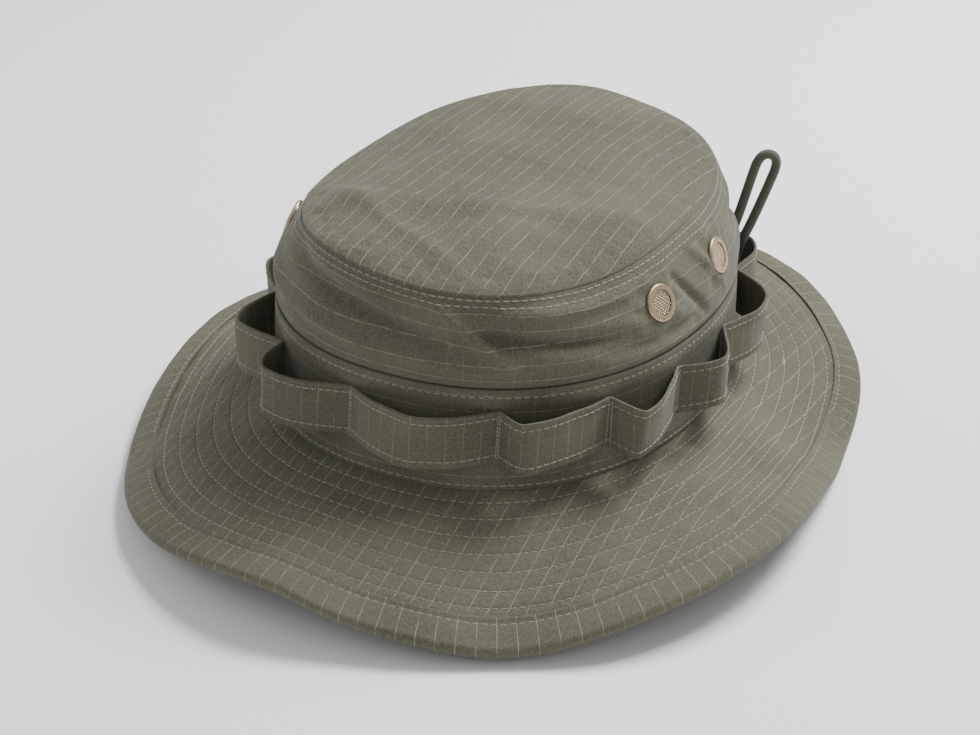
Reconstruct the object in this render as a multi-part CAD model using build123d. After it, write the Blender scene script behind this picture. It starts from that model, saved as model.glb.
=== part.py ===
from build123d import *
import math
import os

# A boonie hat lying on its brim: crown of two cloth panels, lower band, foliage ring, stitched
# three-layer brim with a bound edge, sweatband, four screened vents and a chin cord with its lock.
# Millimetres. +Z is up, the front of the hat is towards -Y and the wearer's left is +X.
# The origin is on the floor under the middle of the brim's outline.

# ---- driving dimensions -------------------------------------------------------------------
OVAL_POWER = 2.2         # roundness of the head oval
SEAM_Z = 35.8            # crown seam above the floor
CENTRE_X = 4.2           # middle of the head opening from the middle of the outline
CENTRE_Y = 0.0

# (height above the crown seam, half width, half length, shift to the back)
CROWN_PROFILE = (
    (0.0, 86.2, 101.7, 0.0),
    (20.0, 86.8, 99.6, 0.0),
    (40.0, 86.9, 97.3, 0.0),
    (52.0, 86.4, 97.6, 1.1),
    (62.0, 82.6, 97.6, 2.0),
    (70.0, 77.6, 97.0, 2.7),
    (76.0, 72.8, 96.2, 3.2),
)
TOP_SEAM = 76.0          # usual height of the crown's top seam
# (angle round the crown, how far the top seam stands above its usual height)
SEAM_WAVE = (
    (0, 1.0), (48, 1.6), (76, 3.0), (100, 6.2), (124, 4.2), (148, 1.2), (174, -1.9), (206, -0.2),
    (244, 4.0), (282, 0.0), (322, -2.4),
)
DOME_RISE = 8.0          # middle of the crown top above its seam
CLOTH = 1.0              # one cloth panel
GAP = 0.08               # air left between sewn layers

BAND_HEIGHT = 40.4
BAND_THICK = 1.2
SWEATBAND_HEIGHT = 31.0
SWEATBAND_THICK = 1.1
SEAM_TAPE = (69.0, 74.6, 0.8)    # inner tape: from, to, thick
LABEL = (34.0, 16.0, 0.4)        # blank size label: long, high, thick

TAPE_LOW = 13.0          # foliage ring: lower and upper edge above the seam
TAPE_HIGH = 32.6
TAPE_THICK = 0.9
# (angle of the tack, bulge of the loop after it, share of the loop where the bulge peaks)
TAPE_LOOPS = (
    (7.0, 11.0, 0.55), (37.0, 17.0, 0.50), (67.0, 12.0, 0.45), (96.0, 12.0, 0.50),
    (124.0, 12.0, 0.40), (152.0, 13.0, 0.50), (179.0, 12.0, 0.50), (206.0, 14.0, 0.55),
    (232.0, 14.0, 0.30), (260.6, 10.0, 0.50), (298.1, 11.0, 0.22), (323.4, 14.0, 0.15),
    (344.0, 11.0, 0.40),
)
# (share of the way to the peak or from it, share of the bulge)
LOOP_RISE = ((0.4, 0.7), (1.0, 1.0))
LOOP_FALL = ((0.35, 0.72), (0.7, 0.34))

# (angle, height of the brim's edge above the seam, flat width of the brim there)
BRIM_KEYS = (
    (0, -20, 56), (22, -32, 59), (46, -23, 67), (70, -9, 69), (96, -16, 68), (122, -31, 67),
    (150, -24, 66), (178, -19, 66), (215, -30, 68), (240, -22, 69), (263, -12, 67),
    (282, -22, 66), (300, -29, 67), (318, -18, 65), (336, -13, 62),
)
BRIM_LAYERS = (("brim_top", 0.9), ("brim_interlining", 0.8), ("brim_underside", 0.9))
BINDING_WIDTH = 12.0
BINDING_THICK = 0.9
SEAM_ALLOWANCE = 4.2     # how far the brim's layers run in under the crown

VENT_Y = {"front": -33.0, "back": 12.0}
VENT_HEIGHT = 60.8
VENT_FLANGE = (7.15, 1.3)        # radius, height
VENT_BARREL = (5.4, 3.3)         # radius, depth
VENT_BORE = 4.9
VENT_HOLE = 5.6
VENT_WASHER = (6.6, 0.7, 2.35)   # radius, thickness, depth below the wall's face
VENT_SCREEN = (4.8, 0.5)

CORD_RADIUS = 2.0
# The chin cord's route from the right tab, past the lock, round and back through it, up through the
# foliage ring, over the bight and down again to the left tab; from the middle of the head opening
# and up from the crown seam.
CORD_ROUTE = (
    (33.6, 103.8, 1.5), (16.0, 106.2, 1.7), (-6.0, 105.8, 1.5), (-28.0, 103.8, 0.4),
    (-42.0, 101.8, -1.7), (-57.8, 101.2, -5.5), (-66.0, 108.8, -10.4), (-65.5, 120.2, -14.6),
    (-56.9, 128.6, -15.0), (-45.0, 129.0, -11.2), (-32.0, 126.8, -5.2), (-18.5, 124.0, 2.1),
    (17.4, 124.3, 4.7), (33.5, 117.3, 3.0), (45.0, 108.3, 0.6), (54.5, 97.5, 0.6),
    (61.0, 89.2, 12.5), (62.2, 87.2, 27.0), (68.2, 86.3, 41.0), (74.0, 86.5, 57.8),
    (79.0, 86.7, 73.2), (71.8, 82.5, 75.8), (67.6, 82.7, 60.0), (63.3, 83.0, 42.9),
    (57.8, 82.6, 27.0), (57.1, 84.4, 12.3), (51.0, 92.6, 1.3), (42.0, 101.8, 1.6),
    (31.0, 111.5, 3.4), (17.4, 119.7, 5.7), (-18.5, 119.4, 3.1), (-36.5, 112.7, -4.0),
)
# (angle, distance from the seam, turn in the brim's plane) of the tabs that hold its ends
CORD_TABS = {"right": (66.5, 8.5, 17.0), "left": (113.0, 17.0, 0.0)}
TAB_SIZE = (9.2, 8.0, 4.6)
TAB_LIFT = 0.35
LOCK_SPOT = (90.0, 19.0)         # angle and distance from the seam
LOCK_BODY = (7.0, -11.0, 9.0)    # radius, inner end, outer end
LOCK_LIFT = 7.8                  # axis of the barrel above the brim
LOCK_BORE = (5.0, -9.5)          # radius, floor
LOCK_SLOT = (9.6, 4.9)           # the way through the body for the two strands
PLUNGER = (4.6, -5.6, 12.0)      # radius, inner end, outer end
PLUNGER_SLOT = (-4.6, 7.2)
SPRING = (3.4, 0.35, 3)          # coil radius, wire radius, turns

STEPS = 48               # points on a closed ring


# ---- shape rules ----------------------------------------------------------------------------
def between(keys, angle, column):
    """Value at an angle on the smooth closed curve through a column of keys."""
    ring = [(key[0] + turn, key[column]) for turn in (-360, 0, 360) for key in keys]
    angle %= 360
    last = max(i for i, spot in enumerate(ring) if spot[0] <= angle)
    spots, values = zip(*ring[last - 1 : last + 3])
    step = spots[2] - spots[1]
    share = (angle - spots[1]) / step
    slopes = [(values[k + 1] - values[k - 1]) / (spots[k + 1] - spots[k - 1]) * step for k in (1, 2)]
    square, cube = share**2, share**3
    rise = 3 * square - 2 * cube
    start, end = cube - 2 * square + share, cube - square
    return values[1] * (1 - rise) + values[2] * rise + start * slopes[0] + end * slopes[1]


def crown_size(height):
    """Half width, half length and shift of the crown at a height above the seam."""
    for low, high in zip(CROWN_PROFILE, CROWN_PROFILE[1:]):
        if height <= high[0]:
            break
    share = (height - low[0]) / (high[0] - low[0])
    return [a + (b - a) * share for a, b in zip(low[1:], high[1:])]


def crown_point(angle, height, out=0.0):
    """Point on the crown wall at a height, moved out along the wall's plan normal."""
    half_x, half_y, shift = crown_size(height)
    c, s = math.cos(math.radians(angle)), math.sin(math.radians(angle))
    reach = (abs(c) ** OVAL_POWER + abs(s) ** OVAL_POWER) ** (-1 / OVAL_POWER)
    normal = Vector(
        math.copysign(abs(c) ** (OVAL_POWER - 1), c) / half_x,
        math.copysign(abs(s) ** (OVAL_POWER - 1), s) / half_y,
    ).normalized()
    above_band = max(0.0, (height - BAND_HEIGHT) / (TOP_SEAM - BAND_HEIGHT))
    rise = height + above_band * between(SEAM_WAVE, angle, 1)
    wall = Vector(CENTRE_X + half_x * reach * c, CENTRE_Y + shift + half_y * reach * s, SEAM_Z + rise)
    return wall + normal * out


def brim_point(angle, flat, up=0.0):
    """Point on the brim's upper face, a flat distance out from the crown seam."""
    drop, width = between(BRIM_KEYS, angle, 1), between(BRIM_KEYS, angle, 2)
    share = max(0.0, flat) / width
    out = share * math.sqrt(width**2 - drop**2) + min(0.0, flat)
    return crown_point(angle, 0.0, out) + Vector(0, 0, share * drop + up)


def brim_frame(angle, flat):
    """Plane on the brim: X along the brim, Y outwards, Z up from the cloth."""
    spot = brim_point(angle, flat)
    outward = (brim_point(angle, flat + 1) - spot).normalized()
    along = (brim_point(angle - 1, flat) - spot).normalized()
    return Plane(spot, x_dir=along, z_dir=along.cross(outward))


def ring(point):
    """Closed smooth wire through a point for each step round the hat."""
    return Wire([Edge.make_spline([point(360 * i / STEPS) for i in range(STEPS)], periodic=True)])


def skin(wires):
    """Faces that join neighbouring rings."""
    return [face for pair in zip(wires, wires[1:]) for face in Shell.make_loft(pair, ruled=True).faces()]


def closed(wires):
    """Solid whose section is the closed chain of rings."""
    return Solid(Shell(skin(wires + wires[:1])))


def wall(heights, outer, thick):
    """Cloth wall round the crown; outer gives how far its face stands out at each height."""
    faces = [ring(lambda a, h=h, o=o: crown_point(a, h, o)) for h, o in zip(heights, outer)]
    backs = [ring(lambda a, h=h, o=o: crown_point(a, h, o - thick)) for h, o in zip(heights, outer)]
    return closed(faces + backs[::-1])


# ---- cloth pieces ---------------------------------------------------------------------------
def dome_point(angle, share, up):
    """Point on the crown top, share 1 at its seam and 0 in the middle."""
    edge = crown_point(angle, TOP_SEAM)
    middle = Vector(CENTRE_X, CENTRE_Y + CROWN_PROFILE[-1][3], SEAM_Z + TOP_SEAM)
    spot = middle + (edge - middle) * share
    level = SEAM_Z + TOP_SEAM + (edge.Z - SEAM_Z - TOP_SEAM) * share**3
    return Vector(spot.X, spot.Y, level + DOME_RISE * (1 - share**4) + up)


def make_crown_top():
    """Oval top panel with its dome."""
    shares = (1.0, 0.94, 0.84, 0.7, 0.5, 0.25)
    faces = []
    for up in (GAP + CLOTH, GAP):
        rings = [ring(lambda a, s=s: dome_point(a, s, up)) for s in shares]
        peak = Vertex(*dome_point(0, 0, up))
        faces += skin(rings) + Shell.make_loft([rings[-1], peak], ruled=True).faces()
    rims = [ring(lambda a, u=up: dome_point(a, 1, u)) for up in (GAP + CLOTH, GAP)]
    return Solid(Shell(faces + skin(rims)))


def make_crown_side(vents):
    """Side panel, with its vent holes."""
    behind = -BAND_THICK - GAP
    heights = (0.3, 20.0, BAND_HEIGHT + 0.3, 44.5, 52.0, 57.0, 62.0, 66.0, 70.0, 73.0, TOP_SEAM)
    panel = wall(heights, [behind] * 3 + [0.0] * 8, CLOTH)
    for frame in vents.values():
        panel -= frame * Cylinder(VENT_HOLE, 12)
    return panel


def make_foliage_ring():
    """Tape sewn on in loops: tacked flat to the band, bulging between the tacks."""
    path = []
    for (tack, bulge, peak), (after, _, _) in zip(TAPE_LOOPS, TAPE_LOOPS[1:] + TAPE_LOOPS[:1]):
        span = (after - tack) % 360
        path += [(tack, 0.0)]
        path += [(tack + span * peak * way, bulge * part) for way, part in LOOP_RISE]
        path += [(tack + span * (peak + (1 - peak) * way), bulge * part) for way, part in LOOP_FALL]
    solids = []
    for stand in (2 * GAP + TAPE_THICK, 2 * GAP):
        rings = [
            Wire.make_polygon([crown_point(a, height, out + stand) for a, out in path], close=True)
            for height in (TAPE_LOW, TAPE_HIGH)
        ]
        solids.append(Solid.make_loft(rings, ruled=True))
    return solids[0] - solids[1]


def make_size_label():
    """Blank label on the inside of the sweatband, at the back."""
    depth = -BAND_THICK - CLOTH - SWEATBAND_THICK - 3 * GAP
    strip = wall((8.0, 8.0 + LABEL[1]), (depth, depth), LABEL[2])
    return strip & Pos(CENTRE_X, CENTRE_Y + 90, SEAM_Z + 16) * Box(LABEL[0], 40, 60)


def inside_edge(inset):
    """Rule for the flat distance that stops short of the brim's edge by an inset."""
    return lambda angle: between(BRIM_KEYS, angle, 2) - inset


def make_brim_layers():
    """The brim's three layers, one under the other."""
    stops = [
        lambda angle: -SEAM_ALLOWANCE, lambda angle: 0.0,
        inside_edge(BINDING_WIDTH), inside_edge(BINDING_THICK + 0.3),
    ]
    layers, top = {}, 0.0
    for name, thick in BRIM_LAYERS:
        rings = [
            ring(lambda a, u=up: brim_point(a, flat_at(a), u))
            for up, outward in ((top, True), (top - thick, False))
            for flat_at in (stops if outward else stops[::-1])
        ]
        layers[name] = closed(rings)
        top -= thick + GAP
    return layers


def make_binding():
    """Folded tape round the brim's edge, open inwards."""
    stack = sum(thick for _, thick in BRIM_LAYERS) + GAP * (len(BRIM_LAYERS) - 1)
    corners = (
        (BINDING_WIDTH, GAP + BINDING_THICK), (0.0, GAP + BINDING_THICK),
        (0.0, -stack - GAP - BINDING_THICK), (BINDING_WIDTH, -stack - GAP - BINDING_THICK),
        (BINDING_WIDTH, -stack - GAP), (BINDING_THICK, -stack - GAP),
        (BINDING_THICK, GAP), (BINDING_WIDTH, GAP),
    )
    return closed([
        ring(lambda a, i=inset, u=up: brim_point(a, between(BRIM_KEYS, a, 2) - i, u))
        for inset, up in corners
    ])


# ---- vents ----------------------------------------------------------------------------------
def vent_frame(side, y):
    """Plane on the crown wall at a vent, Z pointing out of the hat."""
    angle = min(range(-900, 900), key=lambda a: abs(crown_point(a / 20, VENT_HEIGHT).Y - y)) / 20
    angle = angle if side > 0 else 180 - angle
    spot = crown_point(angle, VENT_HEIGHT)
    up = crown_point(angle, VENT_HEIGHT + 2) - crown_point(angle, VENT_HEIGHT - 2)
    along = crown_point(angle + 1, VENT_HEIGHT) - crown_point(angle - 1, VENT_HEIGHT)
    return Plane(spot, x_dir=along.normalized(), z_dir=along.cross(up).normalized())


def make_vent(frame):
    """Ring, woven screen and inner washer of one vent."""
    radius, height = VENT_FLANGE
    low = Align.CENTER, Align.CENTER, Align.MIN
    flange = Pos(0, 0, GAP) * Cylinder(radius, height, align=low)
    flange = fillet(flange.edges().group_by(Axis.Z)[-1], height * 0.6)
    barrel = Pos(0, 0, -VENT_BARREL[1]) * Cylinder(VENT_BARREL[0], VENT_BARREL[1] + height, align=low)
    vent_ring = flange + barrel - Cylinder(VENT_BORE, 20)
    screen = Pos(0, 0, 0.4) * Cylinder(*VENT_SCREEN)
    washer = Pos(0, 0, -VENT_WASHER[2] - VENT_WASHER[1]) * (
        Cylinder(VENT_WASHER[0], VENT_WASHER[1], align=low)
        - Cylinder(VENT_BARREL[0] + 0.1, 4)
    )
    return {"ring": frame * vent_ring, "screen": frame * screen, "washer": frame * washer}


# ---- cord lock ------------------------------------------------------------------------------
def lock_place():
    """Location that turns a barrel made along Z to lie outwards on the brim."""
    frame = brim_frame(*LOCK_SPOT)
    middle = frame.origin + frame.z_dir * LOCK_LIFT
    return Plane(middle, x_dir=frame.x_dir, z_dir=frame.y_dir)


def make_lock():
    """Barrel, plunger and spring of the cord lock."""
    place = lock_place()
    low = Align.CENTER, Align.CENTER, Align.MIN
    radius, inner, outer = LOCK_BODY
    body = Pos(0, 0, inner) * Cylinder(radius, outer - inner, align=low)
    body = fillet(body.edges().filter_by(GeomType.CIRCLE), 1.2)
    body -= Pos(0, 0, LOCK_BORE[1]) * Cylinder(LOCK_BORE[0], 40, align=low)
    body -= Box(40, LOCK_SLOT[1], LOCK_SLOT[0])
    radius, inner, outer = PLUNGER
    plunger = Pos(0, 0, inner) * Cylinder(radius, outer - inner, align=low)
    plunger = fillet(plunger.edges().group_by(Axis.Z)[-1], 1.5)
    way = PLUNGER_SLOT[1] - PLUNGER_SLOT[0]
    plunger -= Pos(0, 0, PLUNGER_SLOT[0]) * Box(40, LOCK_SLOT[1], way, align=low)
    coil, wire, turns = SPRING
    room = PLUNGER[1] - LOCK_BORE[1] - 2 * wire - 0.2
    path = Helix(pitch=room / turns, height=room, radius=coil)
    start = Plane(path @ 0, z_dir=path % 0)
    spring = Pos(0, 0, LOCK_BORE[1] + wire + 0.1) * sweep(start * Circle(wire), path)
    return {"cord_lock_body": place * body, "cord_lock_plunger": place * plunger,
            "cord_lock_spring": place * spring}


def corner_radii(points):
    """Arc at each corner of the cord's route: 0.45 of its shorter run over tan(half the turn)."""
    radii = []
    for before, corner, after in zip(points, points[1:], points[2:]):
        turn = math.radians((corner - before).get_angle(after - corner))
        run = min((corner - before).length, (after - corner).length)
        radii.append(0.45 * run / math.tan(turn / 2))
    return radii


def make_cord():
    """Round chin cord along its route."""
    middle = Vector(CENTRE_X, CENTRE_Y, SEAM_Z)
    points = [middle + Vector(*spot) for spot in CORD_ROUTE]
    radii = corner_radii(points)
    path = FilletPolyline(*points, radius=radii)
    cord = sweep(Plane(path @ 0, z_dir=path % 0) * Circle(CORD_RADIUS), path)
    print("cord radii", [round(radius, 1) for radius in radii])
    print("cord length", round(path.length, 1), "volume share",
          round(cord.volume / (math.pi * CORD_RADIUS**2 * path.length), 4))
    return cord


def make_cord_tab(angle, flat, turn):
    """Cloth tab sewn to the brim over one end of the cord."""
    frame = Location(brim_frame(angle, flat)) * Rot(0, 0, turn)
    tab = Box(*TAB_SIZE, align=(Align.CENTER, Align.CENTER, Align.MIN))
    tab = fillet(tab.edges().filter_by(Axis.X).group_by(Axis.Z)[-1], 1.5)
    return frame * Pos(0, 0, TAB_LIFT) * tab


def build():
    """Every piece of the hat by node name."""
    vents = {
        f"{side}_{spot}": vent_frame(sign, y)
        for side, sign in (("left", 1), ("right", -1))
        for spot, y in VENT_Y.items()
    }
    sweat_out = -BAND_THICK - CLOTH - 2 * GAP
    nodes = {
        "crown_top": make_crown_top(),
        "crown_side": make_crown_side(vents),
        "crown_band": wall((0.3, 20.0, BAND_HEIGHT), (0.0,) * 3, BAND_THICK),
        "foliage_ring": make_foliage_ring(),
        "sweatband": wall((0.3, 20.0, SWEATBAND_HEIGHT), (sweat_out,) * 3, SWEATBAND_THICK),
        "top_seam_tape": wall(SEAM_TAPE[:2], (-CLOTH - GAP,) * 2, SEAM_TAPE[2]),
        "size_label": make_size_label(),
        **make_brim_layers(),
        "brim_binding": make_binding(),
        **make_lock(),
        "chin_cord": make_cord(),
    }
    nodes |= {f"cord_tab_{side}": make_cord_tab(*spot) for side, spot in CORD_TABS.items()}
    for spot, frame in vents.items():
        nodes |= {f"vent_{part}_{spot}": piece for part, piece in make_vent(frame).items()}
    return nodes


if __name__ == "__main__":
    os.makedirs("parts", exist_ok=True)
    for node, piece in build().items():
        export_step(piece, f"parts/{node}.step")
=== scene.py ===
import logging
import math
from collections.abc import Callable, Sequence
from dataclasses import dataclass, field
from enum import Enum
from functools import lru_cache

import bmesh
import bpy
from mathutils import Matrix, Vector, noise


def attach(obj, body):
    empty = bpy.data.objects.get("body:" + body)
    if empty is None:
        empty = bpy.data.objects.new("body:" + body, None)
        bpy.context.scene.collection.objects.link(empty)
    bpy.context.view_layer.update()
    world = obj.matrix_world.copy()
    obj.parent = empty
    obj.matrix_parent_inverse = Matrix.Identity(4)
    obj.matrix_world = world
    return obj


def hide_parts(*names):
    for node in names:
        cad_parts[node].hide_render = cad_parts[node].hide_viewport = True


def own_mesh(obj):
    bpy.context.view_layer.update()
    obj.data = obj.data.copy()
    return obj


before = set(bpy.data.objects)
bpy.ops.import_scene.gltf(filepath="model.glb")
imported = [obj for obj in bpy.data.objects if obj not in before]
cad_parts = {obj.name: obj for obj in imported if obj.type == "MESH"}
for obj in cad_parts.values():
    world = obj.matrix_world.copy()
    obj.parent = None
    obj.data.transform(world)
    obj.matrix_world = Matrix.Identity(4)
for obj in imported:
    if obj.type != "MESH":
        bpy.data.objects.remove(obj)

LOG = logging.getLogger("boonie_hat")
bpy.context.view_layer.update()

# ---- sizes of the hat, in millimetres --------------------------------------------------------
MM = 0.001
OVAL_POWER = 2.2
SEAM_Z = 35.8
CENTRE = Vector((4.2, 0.0, SEAM_Z))
BAND_HEIGHT = 40.4
TOP_SEAM = 76.0
DOME_RISE = 8.0
CLOTH = 1.0
TAPE_LOW, TAPE_HIGH = 13.0, 32.6
BINDING = 12.0
BRIM_WIDTH = 66.0
CORD_DIAMETER = 4.0
# length of each strip of cloth as it was cut, and the binding's full width
SIDE_ROUND, BAND_ROUND, LINING_ROUND, TAPE_ROUND = 585.0, 590.0, 560.0, 800.0
BINDING_ROUND, BINDING_CUT = 980.0, 28.6
SIDE_LOW = 30.0
BAND_CUT = 46.0
SEAM_ROW_DROPS = (1.7, 4.1)
BAND_ROW_DROP = 3.2

Keys = tuple[tuple[float, ...], ...]
Place = Callable[[float, float], Vector]
Spread = Callable[[float, float], tuple[float, float]]

# (height above the crown seam, half width, half length, shift to the back)
CROWN_PROFILE = (
    (0.0, 86.2, 101.7, 0.0), (20.0, 86.8, 99.6, 0.0), (40.0, 86.9, 97.3, 0.0), (52.0, 86.4, 97.6, 1.1),
    (62.0, 82.6, 97.6, 2.0), (70.0, 77.6, 97.0, 2.7), (76.0, 72.8, 96.2, 3.2),
)
# (angle round the crown, how far the top seam stands above its usual height)
SEAM_WAVE = (
    (0, 1.0), (48, 1.6), (76, 3.0), (100, 6.2), (124, 4.2), (148, 1.2), (174, -1.9), (206, -0.2),
    (244, 4.0), (282, 0.0), (322, -2.4),
)
# (angle of the tack, bulge of the loop after it, share of the loop where the bulge peaks)
TAPE_LOOPS = (
    (7.0, 11.0, 0.55), (37.0, 17.0, 0.50), (67.0, 12.0, 0.45), (96.0, 12.0, 0.50),
    (124.0, 12.0, 0.40), (152.0, 13.0, 0.50), (179.0, 12.0, 0.50), (206.0, 14.0, 0.55),
    (232.0, 14.0, 0.30), (260.6, 10.0, 0.50), (298.1, 11.0, 0.22), (323.4, 14.0, 0.15),
    (344.0, 11.0, 0.40),
)
# (angle, height of the brim's edge above the seam, flat width of the brim there)
BRIM_KEYS = (
    (0, -20, 56), (22, -32, 59), (46, -23, 67), (70, -9, 69), (96, -16, 68), (122, -31, 67),
    (150, -24, 66), (178, -19, 66), (215, -30, 68), (240, -22, 69), (263, -12, 67),
    (282, -22, 66), (300, -29, 67), (318, -18, 65), (336, -13, 62),
)
# the chin cord's route from the right tab to the left one, from the middle of the head opening
CORD_ROUTE = (
    (33.6, 103.8, 1.5), (16.0, 106.2, 1.7), (-6.0, 105.8, 1.5), (-28.0, 103.8, 0.4),
    (-42.0, 101.8, -1.7), (-57.8, 101.2, -5.5), (-66.0, 108.8, -10.4), (-65.5, 120.2, -14.6),
    (-56.9, 128.6, -15.0), (-45.0, 129.0, -11.2), (-32.0, 126.8, -5.2), (-18.5, 124.0, 2.1),
    (17.4, 124.3, 4.7), (33.5, 117.3, 3.0), (45.0, 108.3, 0.6), (54.5, 97.5, 0.6),
    (61.0, 89.2, 12.5), (62.2, 87.2, 27.0), (68.2, 86.3, 41.0), (74.0, 86.5, 57.8),
    (79.0, 86.7, 73.2), (71.8, 82.5, 75.8), (67.6, 82.7, 60.0), (63.3, 83.0, 42.9),
    (57.8, 82.6, 27.0), (57.1, 84.4, 12.3), (51.0, 92.6, 1.3), (42.0, 101.8, 1.6),
    (31.0, 111.5, 3.4), (17.4, 119.7, 5.7), (-18.5, 119.4, 3.1), (-36.5, 112.7, -4.0),
)
# the cord lock's middle and its barrel's axes, as packed
LOCK_MIDDLE = Vector((3.632, 121.857, 39.699))
LOCK_SIDE = Vector((0.99733, 0.01003, 0.07231))
LOCK_AXIS = Vector((0.00434, 0.98061, -0.19594))


# ---- shape rules -----------------------------------------------------------------------------
@lru_cache(maxsize=None)
def between(keys: Keys, angle: float, column: int) -> float:
    """Read a smooth closed curve through a column of keys.

    Args:
        keys: Rows that start with an angle in degrees.
        angle: Where to read, in degrees.
        column: The column that is wanted.

    Returns:
        The value at the angle.
    """
    ring = [(key[0] + turn, key[column]) for turn in (-360, 0, 360) for key in keys]
    angle %= 360
    last = max(i for i, spot in enumerate(ring) if spot[0] <= angle)
    spots, values = zip(*ring[last - 1:last + 3])
    step = spots[2] - spots[1]
    share = (angle - spots[1]) / step
    slopes = [(values[k + 1] - values[k - 1]) / (spots[k + 1] - spots[k - 1]) * step for k in (1, 2)]
    square, cube = share**2, share**3
    rise = 3 * square - 2 * cube
    start, end = cube - 2 * square + share, cube - square
    return values[1] * (1 - rise) + values[2] * rise + start * slopes[0] + end * slopes[1]


@lru_cache(maxsize=None)
def crown_size(height: float) -> tuple[float, float, float]:
    """Half width, half length and backward shift of the crown, smooth up its height.

    Args:
        height: Height above the crown seam.

    Returns:
        The three sizes.
    """
    rows = CROWN_PROFILE
    last = max(0, sum(row[0] <= height for row in rows[:-1]) - 1)
    picked = [rows[min(max(last + k, 0), len(rows) - 1)] for k in (-1, 0, 1, 2)]
    step = picked[2][0] - picked[1][0]
    share = min(max((height - picked[1][0]) / step, 0.0), 1.0)
    square, cube = share**2, share**3
    rise = 3 * square - 2 * cube
    sizes = []
    for column in (1, 2, 3):
        values = [row[column] for row in picked]
        slopes = [
            (values[k + 1] - values[k - 1]) / max(picked[k + 1][0] - picked[k - 1][0], 1.0) * step
            for k in (1, 2)
        ]
        sizes.append(
            values[1] * (1 - rise) + values[2] * rise
            + (cube - 2 * square + share) * slopes[0] + (cube - square) * slopes[1]
        )
    return sizes[0], sizes[1], sizes[2]


@lru_cache(maxsize=None)
def oval_normal(angle: float, half_x: float, half_y: float) -> Vector:
    """Outward plan normal of the head oval at an angle.

    Args:
        angle: Angle in degrees.
        half_x: The oval's half width.
        half_y: The oval's half length.

    Returns:
        The direction, one long.
    """
    c, s = math.cos(math.radians(angle)), math.sin(math.radians(angle))
    power = OVAL_POWER - 1
    return Vector((
        math.copysign(abs(c) ** power, c) / half_x, math.copysign(abs(s) ** power, s) / half_y, 0.0,
    )).normalized()


def crown_point(angle: float, height: float, out: float = 0.0) -> Vector:
    """Point on the crown wall.

    Args:
        angle: Angle round the crown from the wearer's left, in degrees.
        height: Height above the crown seam, before the top seam's wave.
        out: Distance outwards along the wall's plan normal.

    Returns:
        The point, in millimetres.
    """
    half_x, half_y, shift = crown_size(height)
    c, s = math.cos(math.radians(angle)), math.sin(math.radians(angle))
    reach = (abs(c) ** OVAL_POWER + abs(s) ** OVAL_POWER) ** (-1 / OVAL_POWER)
    above_band = max(0.0, (height - BAND_HEIGHT) / (TOP_SEAM - BAND_HEIGHT))
    rise = height + above_band * between(SEAM_WAVE, angle, 1)
    wall = CENTRE + Vector((half_x * reach * c, shift + half_y * reach * s, rise))
    return wall + oval_normal(angle, half_x, half_y) * out


def brim_point(angle: float, flat: float, up: float = 0.0) -> Vector:
    """Point on the brim's upper face.

    Args:
        angle: Angle round the brim, in degrees.
        flat: Distance out from the crown seam, measured on the cloth.
        up: Height above the cloth.

    Returns:
        The point, in millimetres.
    """
    drop, width = between(BRIM_KEYS, angle, 1), between(BRIM_KEYS, angle, 2)
    share = max(0.0, flat) / width
    out = share * math.sqrt(width**2 - drop**2) + min(0.0, flat)
    return crown_point(angle, 0.0, out) + Vector((0.0, 0.0, share * drop + up))


def bell(value: float) -> float:
    """Smooth hump, 1 at nought and nearly nothing past 1."""
    return math.exp(-4.0 * value * value)


def rumple(point: Vector, size: float, depth: float) -> float:
    """Soft unevenness of cloth.

    Args:
        point: Where on the hat, in millimetres.
        size: Width of the unevenness.
        depth: Its height.

    Returns:
        Distance to move the cloth along its normal.
    """
    return depth * noise.noise(point / size)


# ---- making meshes ---------------------------------------------------------------------------
class Close(Enum):
    """How the sides of a sheet are joined."""

    OPEN = "open"
    RING = "ring"
    TUBE = "tube"
    TORUS = "torus"


def make_object(name: str, bm: bmesh.types.BMesh, finish: bpy.types.Material) -> bpy.types.Object:
    """Turn a bmesh into a smooth, dressed object at the origin.

    Args:
        name: The piece's name.
        bm: Its shape in metres; it is freed.
        finish: Its material.

    Returns:
        The object, linked to the scene.
    """
    mesh = bpy.data.meshes.new(name)
    bm.to_mesh(mesh)
    bm.free()
    mesh.materials.append(finish)
    mesh.shade_smooth()
    piece = bpy.data.objects.new(name, mesh)
    bpy.context.scene.collection.objects.link(piece)
    return piece


def make_sheet(
    name: str, counts: tuple[int, int], place: Place, spread: Spread,
    finish: bpy.types.Material, close: Close = Close.RING,
) -> bpy.types.Object:
    """Make a sheet from a grid whose points are moved into place.

    Args:
        name: The piece's name.
        counts: Faces along and across.
        place: Gives a point in millimetres for shares along and across.
        spread: Gives the cloth's own coordinates in millimetres for the same shares.
        finish: Its material.
        close: Which sides meet.

    Returns:
        The object.
    """
    bm = bmesh.new()
    along, across = counts
    bmesh.ops.create_grid(bm, x_segments=along, y_segments=across, size=0.5)
    cloth = bm.loops.layers.uv.new("cloth")
    for face in bm.faces:
        for loop in face.loops:
            loop[cloth].uv = spread(loop.vert.co.x + 0.5, loop.vert.co.y + 0.5)
    for vert in bm.verts:
        vert.co = place(vert.co.x + 0.5, vert.co.y + 0.5) * MM
    if close is not Close.OPEN:
        bmesh.ops.remove_doubles(bm, verts=bm.verts, dist=2e-6)
    if close in (Close.TUBE, Close.TORUS):
        bmesh.ops.recalc_face_normals(bm, faces=bm.faces)
    return make_object(name, bm, finish)


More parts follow.
